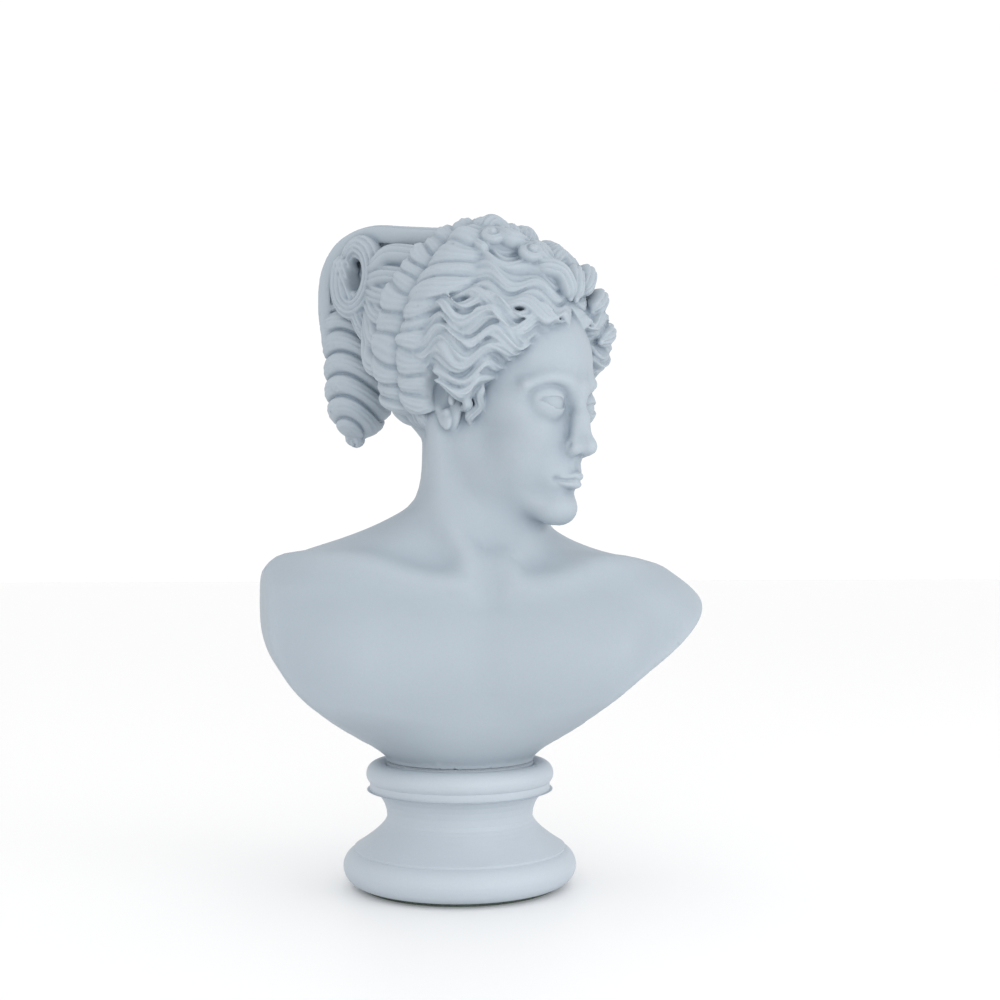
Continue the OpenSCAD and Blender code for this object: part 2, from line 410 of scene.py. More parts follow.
def mouth(clay):
    """Lips, the line between them, and the hollow under them."""
    add = lambda shape, k: clay.add(shape, k * H, HEAD)
    cut = lambda shape, k: clay.cut(shape, k * H, HEAD)
    add(ball(h(0, -0.315, -0.235), h(0.115, 0.095, 0.085)), 0.06)
    cut(rod(h(0, -0.425, -0.168), h(0, -0.428, -0.215), 0.010 * H, 0.014 * H), 0.02)
    # Lips: a bow above and a fuller curve below
    for side in (-1, 1):
        upper = smooth_curve([h(0, -0.413, -0.241), h(side * 0.022, -0.414, -0.236),
                              h(side * 0.052, -0.399, -0.245), h(side * 0.082, -0.370, -0.2575)], 12)
        add(tube(upper, np.linspace(0.0175, 0.007, 12) * H), 0.012)
        lower = smooth_curve([h(0, -0.404, -0.272), h(side * 0.03, -0.402, -0.272),
                              h(side * 0.056, -0.389, -0.270), h(side * 0.078, -0.370, -0.2625)], 12)
        add(tube(lower, np.linspace(0.0235, 0.007, 12) * H), 0.014)
        cut(ball(h(side * 0.092, -0.374, -0.261), h(0.009, 0.012, 0.010)), 0.022)
    part = smooth_curve([h(-0.092, -0.368, -0.2610), h(-0.05, -0.408, -0.2585), h(-0.02, -0.428, -0.2545),
                         h(0, -0.431, -0.2575), h(0.02, -0.428, -0.2545), h(0.05, -0.408, -0.2585),
                         h(0.092, -0.368, -0.2610)], 30)
    cut(tube(part, np.full(30, 0.0055 * H)), 0.008)
    # Hollow between the lip and the chin
    cut(ball(h(0, -0.428, -0.322), h(0.055, 0.032, 0.02)), 0.035)
    add(ball(h(0, -0.345, -0.375), h(0.068, 0.062, 0.055)), 0.04)


EAR_TILT = 10


def ears(clay):
    """Both ears, each in its own frame."""
    for side in (-1, 1):
        origin = HEAD.outwards(h(side * 0.322, 0.062, 0.022))
        lean = turned(about_x=-EAR_TILT, about_z=16)
        ear = Place(origin, (HEAD.axes * np.array([side, 1, 1])) @ lean)
        # The pocket in the hair that the ear stands in
        clay.cut(ball(h(0.055, -0.03, -0.01), h(0.06, 0.05, 0.125)), 0.03 * H, ear)
        clay.add(ball(h(-0.03, 0.0, -0.01), h(0.030, 0.062, 0.13)), 0.02 * H, ear)
        clay.add(ball(h(0.004, 0.012, 0.03), h(0.016, 0.068, 0.095)), 0.012 * H, ear)
        clay.add(ball(h(0.004, -0.012, -0.10), h(0.016, 0.030, 0.038)), 0.02 * H, ear)
        clay.cut(ball(h(0.030, -0.004, 0.005), h(0.024, 0.038, 0.062)), 0.014 * H, ear)
        clay.cut(ball(h(0.026, -0.014, -0.022), h(0.034, 0.026, 0.036)), 0.010 * H, ear)
        rim = smooth_curve([h(0.010, -0.018, 0.028), h(0.012, -0.045, 0.062), h(0.014, -0.042, 0.108),
                            h(0.016, 0.0, 0.134), h(0.018, 0.048, 0.115), h(0.020, 0.07, 0.06),
                            h(0.018, 0.062, 0.0), h(0.014, 0.035, -0.06), h(0.010, 0.005, -0.11)], 30)
        clay.add(tube(rim, np.linspace(0.009, 0.0125, 30) * H), 0.008 * H, ear)
        fold = smooth_curve([h(0.012, 0.012, 0.085), h(0.016, 0.038, 0.04), h(0.016, 0.036, -0.01),
                             h(0.012, 0.014, -0.06), h(0.010, -0.02, -0.062)], 18)
        clay.add(tube(fold, np.linspace(0.010, 0.012, 18) * H), 0.012 * H, ear)
        clay.add(ball(h(0.010, -0.050, -0.018), h(0.014, 0.014, 0.024)), 0.014 * H, ear)


# ---- Hair ----------------------------------------------------------------------------

CAP_CENTRE = np.array(h(0, 0.10, 0.25))
CAP_RADII = np.array(h(0.43, 0.50, 0.52))


def dip(ahead, above):
    """How much lower the hair lies over the forehead than the cap's ellipsoid."""
    return 15 * np.maximum(-ahead, 0) * np.maximum(above, 0)


def on_cap(around, up, side, lift=0.0):
    """Points on the hair, and the way out from it, from angles about the cap's centre.

    around is 0 at the forehead, 90 at a side and 180 behind; up is 0 level and 90 on top."""
    a, u = np.radians(around), np.radians(up)
    way = np.stack([side * np.sin(a) * np.cos(u), -np.cos(a) * np.cos(u), np.sin(u)], -1)
    normal = way / CAP_RADII
    normal /= np.linalg.norm(normal, axis=-1, keepdims=True)
    lift = np.asarray(lift) - dip(way[..., 1], way[..., 2])
    return CAP_CENTRE + way * CAP_RADII + normal * lift[..., None], normal


def add_lock(clay, points, normals, widths, heights, strands, groove, k=0.7):
    """A lock of hair: a flattened tube with grooves between its strands."""
    points = HEAD.outwards(points)
    normals = HEAD.directions(normals)
    reach = float(max(widths.max(), heights.max())) + k + 2 * clay.step
    view, x, y, z = clay.window(points, reach)
    if not view.size:
        return
    lock = np.full(view.shape, FAR, np.float32)
    low = np.array([x.flat[0], y.flat[0], z.flat[0]])
    lengths = np.linalg.norm(np.diff(points, axis=0), axis=1)
    for i, length in enumerate(lengths):
        a, along = points[i], points[i + 1] - points[i]
        own = max(widths[i], widths[i + 1], heights[i], heights[i + 1]) + k + 2 * clay.step
        first = np.maximum((np.minimum(a, a + along) - own - low) / clay.step, 0).astype(int)
        last = ((np.maximum(a, a + along) + own - low) / clay.step).astype(int) + 2
        part = tuple(slice(f, l) for f, l in zip(first, last))
        dx, dy, dz = x[part[0]] - a[0], y[:, part[1]] - a[1], z[:, :, part[2]] - a[2]
        t = np.clip(((dx * along[0] + dy * along[1]) + dz * along[2]) / (length * length), 0, 1)
        dx, dy, dz = dx - t * along[0], dy - t * along[1], dz - t * along[2]
        way = along / length
        out = (normals[i] + normals[i + 1]) / 2
        out = out - (out @ way) * way
        out /= np.linalg.norm(out)
        across = np.cross(way, out)
        w = widths[i] + (widths[i + 1] - widths[i]) * t
        e = heights[i] + (heights[i + 1] - heights[i]) * t
        u = (dx * across[0] + dy * across[1] + dz * across[2]) / w
        v = (dx * out[0] + dy * out[1] + dz * out[2]) / e
        s = (dx * way[0] + dy * way[1] + dz * way[2]) / w
        near = np.sqrt(u * u + v * v + s * s) + 1e-6
        slope = np.sqrt((u / w) ** 2 + (v / e) ** 2 + (s / w) ** 2) + 1e-6
        d = near * (near - 1) / slope
        phase = 0.5 * strands * (u + 1)
        d += groove * np.minimum(w / widths.max(), 1) * (1 - np.abs(np.sin(np.pi * phase)))
        np.minimum(lock[part], d, out=lock[part])
    blend_in(view, lock, k)


def hair_cap(clay):
    """The mass of hair under the locks, which thickens behind the hairline."""
    corners, shape = ball(CAP_CENTRE, CAP_RADII - np.array([4.5, 4.5, 4.5]))
    line = np.array([0, 0.797, 0.604])
    offset = line @ np.array(h(0, -0.325, 0.42))

    def distance(x, y, z):
        behind = (y * line[1] + z * line[2]) - offset - 0.10 * H * ease((np.abs(x) / H - 0.2) / 0.2)
        across, ahead, above = ((c - c0) / r for c, c0, r in zip((x, y, z), CAP_CENTRE, CAP_RADII))
        far = across * across + ahead * ahead + above * above + 0.01
        d = shape(x, y, z) + dip(ahead, above) / far + 12 * (1 - ease(behind / 14))
        cut_out(d, behind + 4, 0.05 * H)
        return d
    clay.add((corners, distance), 3.0, HEAD)


def skin_depth(clay, base, normal):
    """How far under points of the cap the carving's surface lies."""
    reach = np.arange(0, 30, 0.5)
    rays = base[:, None] - normal[:, None] * reach[:, None]
    inside = sample(clay, HEAD.outwards(rays.reshape(-1, 3))).reshape(len(base), -1) < 0
    return reach[np.argmax(inside, axis=1)]


def lay_lock(clay, side, start, end, width, height, strands, *, wave=0.0, length=34.0, phase=0.0,
             bow=0.0, lift=(-2, 0, 0), crest=0.0, groove=1.0, taper=(0.35, 0.5), count=34, bulge=0.0,
             clings=False):
    """A lock that lies on the cap from one pair of angles to another, swinging from side to side.

    One that clings lies on the skin instead."""
    s = np.linspace(0, 1, count)
    around = start[0] + (end[0] - start[0]) * s
    up = start[1] + (end[1] - start[1]) * s
    rise = smooth_curve(lift, count)
    base, normal = on_cap(around, up, side, 0 * s)
    if clings:
        depth = skin_depth(clay, base, normal)
        rise = rise - np.interp(s, [0, 0.5, 1], [depth[0], depth[count // 2], depth[-1]])
    base = base + normal * rise[:, None]
    way = np.gradient(base, axis=0)
    way /= np.linalg.norm(way, axis=1, keepdims=True)
    across = np.cross(normal, way) * side
    run = np.concatenate([[0], np.cumsum(np.linalg.norm(np.diff(base, axis=0), axis=1))])
    swing = 2 * np.pi * (run / length + phase)
    grown = ease(run / 12)
    shift = grown * wave * np.sin(swing) + bow * np.sin(np.pi * s)
    points = base + across * shift[:, None] + normal * (grown * crest * np.cos(swing))[:, None]
    thin = np.minimum(taper[0] + (1 - taper[0]) * ease(s / 0.22),
                      taper[1] + (1 - taper[1]) * ease((1 - s) / 0.2))
    full = 1 + bulge * ease((s - 0.6) / 0.3)
    add_lock(clay, points, normal, width * thin, height * thin * full, strands, groove)


def curl(clay, side, at, radius, turns, width, lift=3.0, cone=5.0, spin=1, first=0.0):
    """A lock wound into a low shell on the cap."""
    count = int(26 * turns)
    centre, normal = on_cap(at[0], at[1], side, lift)
    upwards = on_cap(at[0], at[1] + 1, side, lift)[0] - centre
    upwards /= np.linalg.norm(upwards)
    sideways = np.cross(normal, upwards) * side
    s = np.linspace(0, 1, count)
    angle = np.radians(first) + spin * 2 * np.pi * turns * s
    grown = (1 - 0.9 * s)[:, None] * radius
    points = centre + grown * (np.cos(angle)[:, None] * upwards + np.sin(angle)[:, None] * sideways)
    points = points + normal * (cone * s)[:, None]
    clay.add(ball(centre - 5 * normal, 0.95 * radius), 3, HEAD)
    thick = width * (1 - 0.35 * s)
    add_lock(clay, points, np.tile(normal, (count, 1)), thick, thick, 3, 0.9)


def hair_sheet(clay, side, starts, ends, locks, *, wave=0.0, length=25.0, crest=0.0, bow=0.0,
               lift=(0, 0), depth=3.4, strands=5, fine=0.9, sunk=0.0, drift=0.2, swell=0.0, thick=12.0,
               phase=0.0, hem=0.0, slant=0.05, twist=0.0, bundles=0.0, ragged=0.0):
    """Many locks side by side, as one carved sheet between two curves of angles on the cap."""
    rows, columns = 120, 34 * locks
    s, v = np.meshgrid(np.linspace(0, 1, rows), np.linspace(0, 1, columns), indexing="ij")
    first, last = smooth_curve(starts, columns), smooth_curve(ends, columns)
    ragged = ragged * np.sin(4.4 * v * locks + phase) ** 2
    along = ragged + (1 - ragged) * s
    around, up = (first[:, i] + (last[:, i] - first[:, i]) * along for i in (0, 1))
    base, normal = on_cap(around, up, side)
    way = np.gradient(base, axis=0)
    steps = np.linalg.norm(way, axis=2)
    way /= steps[..., None]
    across = np.cross(normal, way) * side
    run = np.cumsum(steps, axis=0)
    lane = (v + 0.035 * np.sin(2 * np.pi * 1.4 * v + phase) * np.sin(np.pi * v)) * locks
    lane = lane + drift * np.sin(2 * np.pi * (0.8 * s + 0.37 * lane)) * ease(s / 0.3)
    number = np.floor(lane)
    f = lane - number
    # Each lock is a little higher, longer in its wave and later than the last
    own = np.sin(2.4 * number + 1 + phase)
    swing = 2 * np.pi * (run / (length * (1 + 0.02 * own)) + slant * lane + phase)
    grown = ease(run / 12)
    shift = grown * wave * np.sin(swing) + bow * np.sin(np.pi * s)
    dome = (4 * f * (1 - f)) ** 0.55
    thread = np.abs(np.sin(np.pi * strands * f + 0.6 * np.sin(5 * s + number)))
    height = smooth_curve(lift, rows)[:, None] + grown * crest * np.cos(swing)
    height = height + grown * twist * np.cos(swing + 0.6 * own) * (2 * f - 1) * dome
    bundle = np.abs(np.sin(np.pi * (lane / 2 + 0.1))) ** 0.6
    height = height + bundles * (bundle - 0.6) * ease(s / 0.12)
    height = height + ease(s / 0.12) * (depth * (dome - 0.6) * (1 + 0.25 * own) + 0.9 * own + fine * thread)
    height = height + swell * np.sin(np.pi * s) ** 0.7
    if sunk:
        height = height - skin_depth(clay, base[0], normal[0]) * (1 - ease(s / sunk))
    if hem:
        height = height - 6 * (1 - ease(v * locks / hem)) - 3 * (1 - ease((1 - v) * locks / hem))
    top = base + across * shift[..., None] + normal * height[..., None]
    bottom = base + across * shift[..., None] + normal * (height.min() - thick)
    add_slab(clay, HEAD.outwards(top), HEAD.outwards(bottom))


def add_slab(clay, top, bottom):
    """Adds the solid between two grids of points."""
    rows, columns = top.shape[:2]
    points = np.concatenate([top.reshape(-1, 3), bottom.reshape(-1, 3)])
    number = np.arange(rows * columns).reshape(rows, columns)
    quads = [np.stack([number[:-1, :-1], number[1:, :-1], number[1:, 1:], number[:-1, 1:]], -1)]
    quads.append(quads[0][..., ::-1] + rows * columns)
    for edge in (number[0], number[::-1, -1], number[-1, ::-1], number[:, 0][::-1]):
        low = edge + rows * columns
        quads.append(np.stack([edge[:-1], edge[1:], low[1:], low[:-1]], -1))
    quads = np.concatenate([q.reshape(-1, 4) for q in quads]).astype(np.uint32)
    band = 4
    cells = ((points - clay.low) / clay.step).astype(np.float32)
    low = np.maximum(cells.min(0).astype(int) - band, 0)
    high = np.minimum(cells.max(0).astype(int) + band + 2, clay.field.shape)
    grid = openvdb.FloatGrid.createLevelSetFromPolygons(cells, quads=quads, halfWidth=band)
    slab = np.empty(high - low, np.float32)
    grid.copyToArray(slab, ijk=tuple(int(i) for i in low))
    slab = np.where(slab > band - 0.01, FAR, slab * clay.step)
    view = clay.field[tuple(slice(a, b) for a, b in zip(low, high))]
    blend_in(view, slab, 1.0)


def front_locks(clay, side):
    """Waves from the hairline back over the temples to the first roll."""
    # The hair is fuller on the figure's left
    full = 9 if side > 0 else 0
    hair_sheet(clay, side, [(57, -22), (46, -8), (34, 3), (21, 12), (6, 19)],
               [(88, -29), (94, -14), (99, -1), (101, 11), (100, 23)], 7, wave=4.7, length=30, crest=1.0,
               lift=(-1, 1 + full, 2 + full / 2, -1), sunk=0.28, phase=0.3, strands=5, fine=1.3, depth=3.6,
               hem=0.7, slant=-0.26, bundles=3.0, ragged=0.05)
    if side > 0:
        for start, end in (((26, 24), (52, 28)), ((34, 10), (60, 12)), ((18, 34), (44, 42))):
            lay_lock(clay, side, start, end, 6.5, 6.5, 4, bow=5, lift=(2, 9, 5), groove=1.4, count=30)


def crown_locks(clay, side):
    """Hair combed back over the crown, and the curls that stand on it."""
    hair_sheet(clay, side, [(9, 15), (-2, 30), (-5, 48), (-12, 66)],
               [(101, 16), (97, 34), (88, 52), (76, 66)], 7, wave=3.6, length=29, crest=0.8,
               lift=(-3, 0, 0.5, -1.5), depth=2.2, strands=4, fine=1.1, slant=0.08, twist=1.2,
               bundles=1.8)
    for j, (around, up) in enumerate([(4, 54), (52, 74)]):
        lay_lock(clay, side, (around, up), (around + 30, up - 6 - 3 * j), 6.5, 6, 4, bow=6,
                 lift=(0, 4, 3), groove=1.3, count=30)
    curl(clay, side, (68, 57), 9.0, 1.6, 4.2, lift=2.0, first=200)
    curl(clay, side, (33, 50), 8.5 + side, 1.4, 4.2, lift=3.0, spin=-1, first=120 + 25 * side)
    for start, end, bow in (((4, 30), (30, 44), 7), ((30, 62), (58, 66), -7), ((12, 42), (20, 62), -6)):
        lay_lock(clay, side, start, end, 6.6, 6.2, 4, bow=bow + side, lift=(0, 4, 2.5), groove=1.4,
                 count=32)


def roll_locks(clay, side):
    """Two rolls of short locks laid side by side, from the nape over the crown."""
    hair_sheet(clay, side, [(102, -40), (104, 0), (104, 40), (98, 83)],
               [(140, -30), (141, 8), (138, 50), (128, 83)], 13, hem=0.8, bow=-2.5,
               lift=(-5, -1, 0, -4), swell=5.5, depth=3.2, strands=3, drift=0.12, phase=0.7)
    hair_sheet(clay, side, [(70, 26), (68, 45), (64, 66), (40, 82)],
               [(112, 12), (112, 40), (110, 64), (110, 82)], 7, bow=-3.5, lift=(-3, -1, 0, -4), swell=5.5,
               depth=3.2, strands=4, drift=0.12)
    hair_sheet(clay, side, [(86, -34), (88, -16), (88, 4), (80, 26)],
               [(113, -30), (114, -12), (113, 2), (112, 14)], 6, bow=-3.0, lift=(-4, -1, 0, -4), swell=4.5,
               depth=3.0, strands=4, drift=0.12)


def nape_locks(clay, side):
    """Hair combed up and back from the neck, under the knot."""
    hair_sheet(clay, side, [(80, -60), (110, -56), (145, -50), (179, -46)],
               [(112, -20), (134, -12), (158, -6), (180, 0)], 8, wave=2.6, length=26, crest=1.0,
               lift=(-6, -3, -1, -2), sunk=0.3, depth=2.8, strands=4)


def temple_curl(clay, side):
    """The small lock that hangs before the ear."""
    for shift, width in ((0, 3.6), (5, 2.8)):
        lay_lock(clay, side, (61 + shift, -20), (66 + shift, -41 + shift), width, 3.4, 3, wave=1.8,
                 length=17, lift=(1.5, 1.5, 0.5), groove=0.9, count=24, clings=True)


def knot(clay):
    """The knot behind the crown: a band over it, a loop at each side and a hanging tail."""
    clay.add(ball((0, 96, 66), (18, 36, 32)), 6, HEAD)
    clay.add(ball((0, 68, 52), (30, 26, 38)), 8, HEAD)
    # The band, of three locks, over the top and down behind
    strap = smooth_curve([(0, 8, 103), (0, 24, 102), (0, 46, 99), (0, 72, 99), (0, 100, 99), (0, 122, 91),
                          (0, 134, 74), (0, 134, 52), (0, 127, 32)], 50)
    out = strap - np.array([0, 90, 60])
    out /= np.linalg.norm(out, axis=1, keepdims=True)
    s = np.linspace(0, 1, 50)
    for spread, width, lower in ((-12.5, 8.0, 1.5), (0, 8.8, 0), (12.5, 7.6, 2.0)):
        sideways = spread * (0.7 + 0.3 * ease(s / 0.4)) + 1.8 * np.sin(9 * s + spread)
        lock = strap + np.stack([sideways, 0 * s, 0 * s], -1) - lower * out
        add_lock(clay, lock, out, width * (0.7 + 0.3 * ease(s / 0.3)), np.full(50, 7.0), 4, 1.5, 1.2)
    for side in (-1, 1):
        # Locks gathered from the second roll into the knot
        for j in range(6):
            low = 16 + 13 * j
            gather = smooth_curve([(side * (46 - 4 * j), 52 - 4 * j, low),
                                   (side * (37 - 2 * j), 70, low + 4),
                                   (side * 25, 84, 38 + 8 * j), (side * 10, 98, 50 + 5 * j)], 24)
            outward = gather - np.array([0, 70, 50])
            outward /= np.linalg.norm(outward, axis=1, keepdims=True)
            add_lock(clay, gather, outward, np.full(24, 7.6), np.full(24, 7.0), 4, 1.4, 1.6)
        # The loop, standing beside the band, and its end drawn forwards under the second roll
        turn = np.radians(np.linspace(-40, 290, 52))
        ring = np.stack([side * (22 + 0 * turn), 102 - 12.5 * np.sin(turn), 71 + 18.5 * np.cos(turn)], -1)
        end = smooth_curve([ring[-1], (side * 20, 94, 44), (side * 22, 84, 34), (side * 28, 72, 22)], 18)
        loop = np.concatenate([ring, end[1:]])
        count = len(loop)
        wide = np.interp(np.arange(count), [0, 8, count - 12, count - 1], [6.0, 8.4, 8.0, 4.5])
        add_lock(clay, loop, np.tile([side * 1.0, 0, 0], (count, 1)), wide, wide, 5, 1.7, 0.8)
        clay.cut(ball((side * 30, 102, 72), (17, 5.0, 9.5)), 3, HEAD)
    tail(clay)


def tail(clay):
    """The hanging end of the knot, wound round with a twisted lock."""
    top, tip = np.array([0, 118, 42]), np.array([0, 109, -26])
    corners = corners_of((-26, 78, -34), (26, 144, 50))

    def distance(x, y, z):
        t = np.clip((top[2] - z) / (top[2] - tip[2]), 0, 1)
        cy = top[1] + (tip[1] - top[1]) * t - 3 * np.sin(np.pi * t)
        radius = 23.0 * np.clip(1 - np.abs((t - 0.34) / 0.68) ** 3.2, 0.0, 1) ** 0.5
        y = y - cy
        far = np.sqrt(x * x + y * y + np.maximum(z - top[2], 0) ** 2 + np.maximum(tip[2] - z, 0) ** 2)
        angle = np.arctan2(y, x)
        along = top[2] - z + 5 * np.sin(angle * 2 + 1)
        wound = 1 - np.abs(np.sin(0.5 * angle - along * np.pi / 13.5))
        fine = 1 - np.abs(np.sin(2 * angle - along * np.pi / 3.4))
        return (far - radius + (3.6 * wound ** 2 + 0.6 * fine) * np.minimum(radius / 14, 1)) * 0.75
    clay.add((corners, distance), 2.0, HEAD)


# ---- Carving -------------------------------------------------------------------------

def carve():
    """All of the carving, as one block of clay."""
    low = np.array([-124, -90, seat - 3])
    high = np.array([156, 112, seat + 350])
    clay = Clay(low, high, STEP)
    body_block(clay)
    chest_and_neck(clay)
    sweep_cut(clay)
    stem_cut(clay)
    face_mass(clay)
    brow_and_sockets(clay)
    nose(clay)
    mouth(clay)
    eyes(clay)
    hair_cap(clay)
    for side in (-1, 1):
        nape_locks(clay, side)
        roll_locks(clay, side)
        crown_locks(clay, side)
        front_locks(clay, side)
    knot(clay)
    ears(clay)
    for side in (-1, 1):
        temple_curl(clay, side)
    # The flat seat
    view, x, y, z = clay.window(np.array([low, [high[0], high[1], seat + 6]]), 0)
    np.maximum(view, seat - z + 0 * x + 0 * y, out=view)
    return clay


# How far flat parts of the mesh may merge their faces: 0 is not at all
COARSENING = 0.1
# How far round a point the stone is felt for, to tell a hollow from an edge
HOLLOW_REACH = 2.8


def blurred(field, reach):
    """The field averaged over boxes that reach that many cells each way, twice."""
    width = 2 * reach + 1
    for axis in (0, 1, 2, 0, 1, 2):
        total = np.cumsum(field, axis=axis, dtype=np.float32)
        total = np.moveaxis(total, axis, 0)
        field = np.zeros_like(total)
        field[reach + 1:-reach] = (total[width:] - total[:-width]) / width
        field = np.moveaxis(field, 0, axis)
    return field


def main_piece(points, *kinds):
    """The points and faces of the largest joined piece, without specks and inner bubbles."""
    edges = np.concatenate([np.stack([faces, np.roll(faces, 1, axis=1)], -1).reshape(-1, 2)
                            for faces in kinds])
    piece = np.arange(len(points))
    settled = False
    while not settled:
        lowest = np.minimum(piece[edges[:, 0]], piece[edges[:, 1]])
        joined = piece.copy()
        np.minimum.at(joined, edges[:, 0], lowest)
        np.minimum.at(joined, edges[:, 1], lowest)
        joined = joined[joined]
        settled = np.array_equal(joined, piece)
        piece = joined
    kept = piece == np.bincount(piece).argmax()
    place = np.cumsum(kept) - 1
    kept_faces = [place[faces[kept[faces[:, 0]]]].tolist() for faces in kinds]
    return points[kept], [tuple(face) for faces in kept_faces for face in faces]


def mesh_of(clay, name):
    """The clay's surface as a mesh, with normals from the field and its hollows marked."""
    band = 3 * clay.step
    grid = openvdb.FloatGrid(band)
    grid.copyFromArray(np.clip(clay.field, -band, band))
    points, triangles, quads = grid.convertToPolygons(0, COARSENING)
    points, faces = main_piece(points.astype(float) * clay.step + clay.low, triangles, quads)
    mesh = bpy.data.meshes.new(name)
    mesh.from_pydata((points * MM).tolist(), [], faces)
    mesh.validate()
    normals = np.stack([sample(clay, points + e) - sample(clay, points - e)
                        for e in np.eye(3) * clay.step * 0.8], -1)
    normals /= np.linalg.norm(normals, axis=1, keepdims=True) + 1e-9
    # How enclosed the stone is around each point; the bust's marble uses it to paint shade into hollows
    solid = blurred(np.clip(0.5 - clay.field / clay.step, 0, 1), round(HOLLOW_REACH / clay.step))
    hollow = np.clip(2 * sample(clay, points, solid) - 1, -1, 1)
    mesh.shade_smooth()
    mesh.normals_split_custom_set_from_vertices(normals.tolist())
    mark = mesh.attributes.new("hollow", "FLOAT", "POINT")
    mark.data.foreach_set("value", hollow.astype(np.float32))
    return mesh


clay = carve()
bust = bpy.data.objects.new("carved_bust", mesh_of(clay, "carved_bust"))
bpy.context.scene.collection.objects.link(bust)
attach(bust, "root")
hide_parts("bust")


# ---- Materials -----------------------------------------------------------------------

class Surface:
    """A procedural material: clouded colour, uneven roughness and a fine bump."""

    def __init__(self, name):
        self.material = bpy.data.materials.new(name)
        self.material.use_nodes = True
        self.tree = self.material.node_tree
        self.shader = self.tree.nodes["Principled BSDF"]
        self.place = self.node("ShaderNodeTexCoord").outputs["Object"]
        self.bump = None

    def node(self, kind, **values):
        """A new node, with values for its sockets and its settings."""
        node = self.tree.nodes.new(kind)
        for key, value in values.items():
            if key in node.inputs:
                node.inputs[key].default_value = value
            else:
                setattr(node, key, value)
        return node

    def join(self, a, b):
        """Links one socket to another."""
        self.tree.links.new(a, b)

    def noise(self, scale, detail=4.0, stretch=(1, 1, 1)):
        """Noise in the object's own coordinates."""
        mapping = self.node("ShaderNodeMapping", Scale=stretch)
        noise = self.node("ShaderNodeTexNoise", Scale=scale, Detail=detail)
        self.join(self.place, mapping.inputs["Vector"])
        self.join(mapping.outputs["Vector"], noise.inputs["Vector"])
        return noise.outputs["Fac"]

    def colours(self, factor, *stops):
        """A colour for each stop of (position, colour)."""
        ramp = self.node("ShaderNodeValToRGB")
        while len(ramp.color_ramp.elements) < len(stops):
            ramp.color_ramp.elements.new(0.5)
        for element, (position, colour) in zip(ramp.color_ramp.elements, stops):
            element.position = position
            element.color = (*colour, 1)
        self.join(factor, ramp.inputs["Fac"])
        return ramp.outputs["Color"]

    def times(self, a, b):
        """One colour multiplied by another."""
        mix = self.node("ShaderNodeMix", data_type="RGBA", blend_type="MULTIPLY")
        mix.inputs["Factor"].default_value = 1
        self.join(a, mix.inputs["A"])
        self.join(b, mix.inputs["B"])
        return mix.outputs["Result"]

    def roughness(self, factor, low, high):
        """Roughness from low to high as the factor rises."""
        spread = self.node("ShaderNodeMapRange")
        spread.inputs["To Min"].default_value = low
        spread.inputs["To Max"].default_value = high
        self.join(factor, spread.inputs["Value"])
        self.join(spread.outputs["Result"], self.shader.inputs["Roughness"])

    def emboss(self, height, distance, strength=1.0):
        """Adds a bump over those already there."""
        bump = self.node("ShaderNodeBump", Distance=distance, Strength=strength)
        self.join(height, bump.inputs["Height"])
        if self.bump:
            self.join(self.bump, bump.inputs["Normal"])
        self.bump = bump.outputs["Normal"]
        self.join(self.bump, self.shader.inputs["Normal"])


def shade(colour, factor):
    """A colour made darker or lighter."""
    return tuple(c * factor for c in colour)


def marble(name, colour):
    """Matte pale marble: soft clouds, a fine crystal grain and a honed bump."""
    surface = Surface(name)
    clouds = surface.noise(11, 6)
    grain = surface.noise(950, 2)
    clouded = surface.colours(clouds, (0.3, shade(colour, 0.965)), (0.7, shade(colour, 1.035)))
    grained = surface.colours(grain, (0.3, (0.97, 0.97, 0.97)), (0.7, (1, 1, 1)))
    surface.base = surface.times(clouded, grained)
    surface.roughness(surface.noise(60, 3), 0.48, 0.62)
    surface.emboss(surface.noise(420, 4), 0.00012, 0.5)
    surface.join(surface.base, surface.shader.inputs["Base Color"])
    return surface


def carved_marble():
    """Marble with painted shade that darkens and blues its cut hollows, and with its raised edges made
    paler.
    """
    surface = marble("bust_marble", (0.368, 0.424, 0.476))
    mark = surface.node("ShaderNodeAttribute", attribute_name="hollow")
    spread = surface.node("ShaderNodeMapRange")
    spread.inputs["From Min"].default_value = -0.5
    spread.inputs["From Max"].default_value = 0.5
    surface.join(mark.outputs["Fac"], spread.inputs["Value"])
    # Painted shade: the colour is darkened and tinted blue in hollows, where shade would fall, and made
    # paler on raised edges
    painted_shade_and_pale_edges = surface.colours(spread.outputs["Result"], (0.0, (1.12, 1.11, 1.10)), (0.45, (1, 1, 1)),
                           (1.0, (0.62, 0.67, 0.72)))
    surface.join(surface.times(surface.base, painted_shade_and_pale_edges), surface.shader.inputs["Base Color"])
    return surface.material


def turned_marble():
    """Marble with the faint rings that turning leaves."""
    # Painted light: this marble is made paler than the bust's to stand in for the extra light the floor
    # throws on the socle
    surface = marble("socle_marble", (0.46, 0.515, 0.57))
    surface.emboss(surface.noise(700, 2, (0.01, 0.01, 1)), 0.00006, 0.35)
    return surface.material


def setting_mortar():
    """The thin bed of pale mortar."""
    surface = Surface("setting_mortar")
    sand = surface.noise(1300, 5)
    tone = surface.colours(sand, (0.35, (0.27, 0.31, 0.35)), (0.65, (0.38, 0.42, 0.46)))
    surface.join(tone, surface.shader.inputs["Base Color"])
    surface.roughness(sand, 0.8, 0.95)
    surface.emboss(sand, 0.0004)
    return surface.material


def steel(name, dark, light, low, high):
    """Plated or bare steel, clouded and finely drawn along one way."""
    surface = Surface(name)
    tone = surface.colours(surface.noise(160, 6), (0.3, dark), (0.7, light))
    surface.join(tone, surface.shader.inputs["Base Color"])
    surface.shader.inputs["Metallic"].default_value = 1.0
    drawn = surface.noise(900, 3, (1, 1, 0.08))
    surface.roughness(drawn, low, high)
    surface.emboss(drawn, 0.00004, 0.4)
    return surface.material


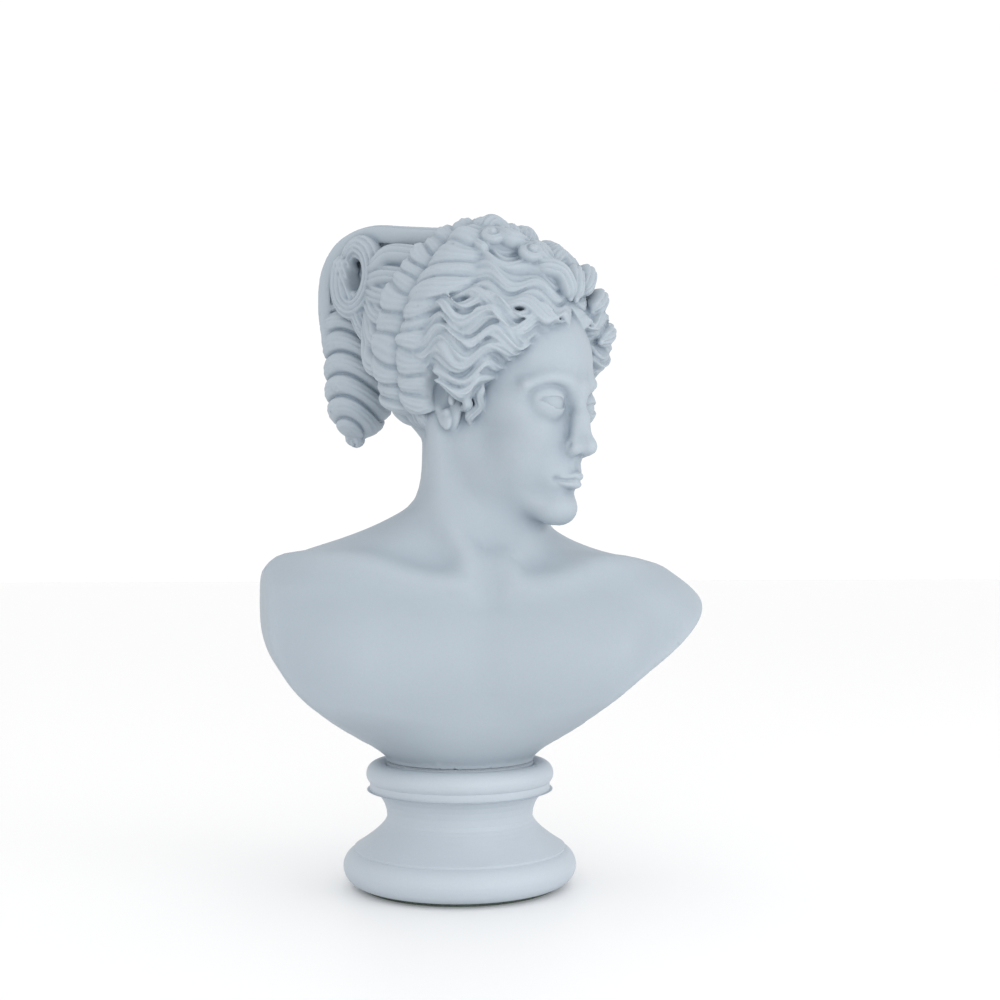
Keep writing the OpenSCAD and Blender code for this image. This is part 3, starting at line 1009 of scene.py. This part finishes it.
def set_resin():
    """Amber resin, set hard."""
    surface = Surface("anchor_resin")
    tone = surface.colours(surface.noise(180, 4), (0.3, (0.33, 0.25, 0.13)), (0.7, (0.46, 0.37, 0.21)))
    surface.join(tone, surface.shader.inputs["Base Color"])
    surface.roughness(surface.noise(400, 3), 0.3, 0.5)
    surface.emboss(surface.noise(600, 3), 0.0001, 0.5)
    return surface.material


def wool_felt():
    """Dark green pressed felt."""
    surface = Surface("felt")
    fibres = surface.noise(1100, 6, (1, 0.3, 1))
    across = surface.noise(1100, 6, (0.3, 1, 1))
    tone = surface.times(surface.colours(fibres, (0.3, (0.07, 0.095, 0.075)), (0.7, (0.14, 0.17, 0.145))),
                         surface.colours(across, (0.3, (0.7, 0.7, 0.7)), (0.7, (1, 1, 1))))
    surface.join(tone, surface.shader.inputs["Base Color"])
    surface.roughness(fibres, 0.9, 1.0)
    surface.emboss(fibres, 0.0005)
    return surface.material


zinc = steel("zinc_plated_steel", (0.50, 0.53, 0.56), (0.66, 0.67, 0.66), 0.28, 0.45)
FINISHES = {"bust": carved_marble(), "socle": turned_marble(), "bedding_ring": setting_mortar(),
            "tie_rod": zinc, "load_washer": zinc, "hex_nut": zinc, "anchor_resin": set_resin(),
            "lock_washer": steel("spring_steel", (0.10, 0.10, 0.105), (0.20, 0.195, 0.19), 0.35, 0.5),
            "felt_pad": wool_felt()}
bust.data.materials.append(FINISHES["bust"])
for name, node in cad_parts.items():
    if node.type == "MESH":
        for slot in node.material_slots:
            slot.material = FINISHES[name]

# ---- Stage ---------------------------------------------------------------------------

bpy.ops.mesh.primitive_plane_add(size=20)
floor = bpy.context.object
floor.name = "floor"
white = bpy.data.materials.new("floor")
white.use_nodes = True
white.node_tree.nodes["Principled BSDF"].inputs["Base Color"].default_value = (0.95, 0.95, 0.95, 1)
floor.data.materials.append(white)

scene = bpy.context.scene
scene.view_settings.view_transform = "Standard"
world = bpy.data.worlds.new("studio")
scene.world = world
world.use_nodes = True
world.node_tree.nodes["Background"].inputs["Color"].default_value = (1, 1, 1, 1)
world.node_tree.nodes["Background"].inputs["Strength"].default_value = 1.02


def area_light(name, place, aim, size, power):
    """A soft square light, turned to face a point."""
    light = bpy.data.lights.new(name, "AREA")
    light.size = size
    light.energy = power
    lamp = bpy.data.objects.new(name, light)
    lamp.location = place
    lamp.rotation_euler = (Vector(aim) - Vector(place)).to_track_quat("-Z", "Y").to_euler()
    scene.collection.objects.link(lamp)


area_light("key", (1.2, -1.0, 0.35), (0, 0, 0.15), 1.0, 6)
area_light("front", (-0.3, -1.5, 0.3), (0, 0, 0.1), 1.2, 6)

camera = bpy.data.cameras.new("camera")
camera.sensor_width = 36
camera.lens = 50.4
camera.shift_y = 0.056
eye = bpy.data.objects.new("camera", camera)
# Where the camera stands, in metres from the part's axis, and its turn about it
EYE_TURN = -11
EYE_DISTANCE = 0.84
EYE_RIGHT = 0.024
EYE_HEIGHT = 0.196
turn = math.radians(EYE_TURN)
right = Vector((math.cos(turn), math.sin(turn), 0))
ahead = Vector((-math.sin(turn), math.cos(turn), 0))
eye.location = right * EYE_RIGHT - ahead * EYE_DISTANCE + Vector((0, 0, EYE_HEIGHT))
eye.rotation_euler = (math.radians(90), 0, turn)
scene.collection.objects.link(eye)
scene.camera = eye
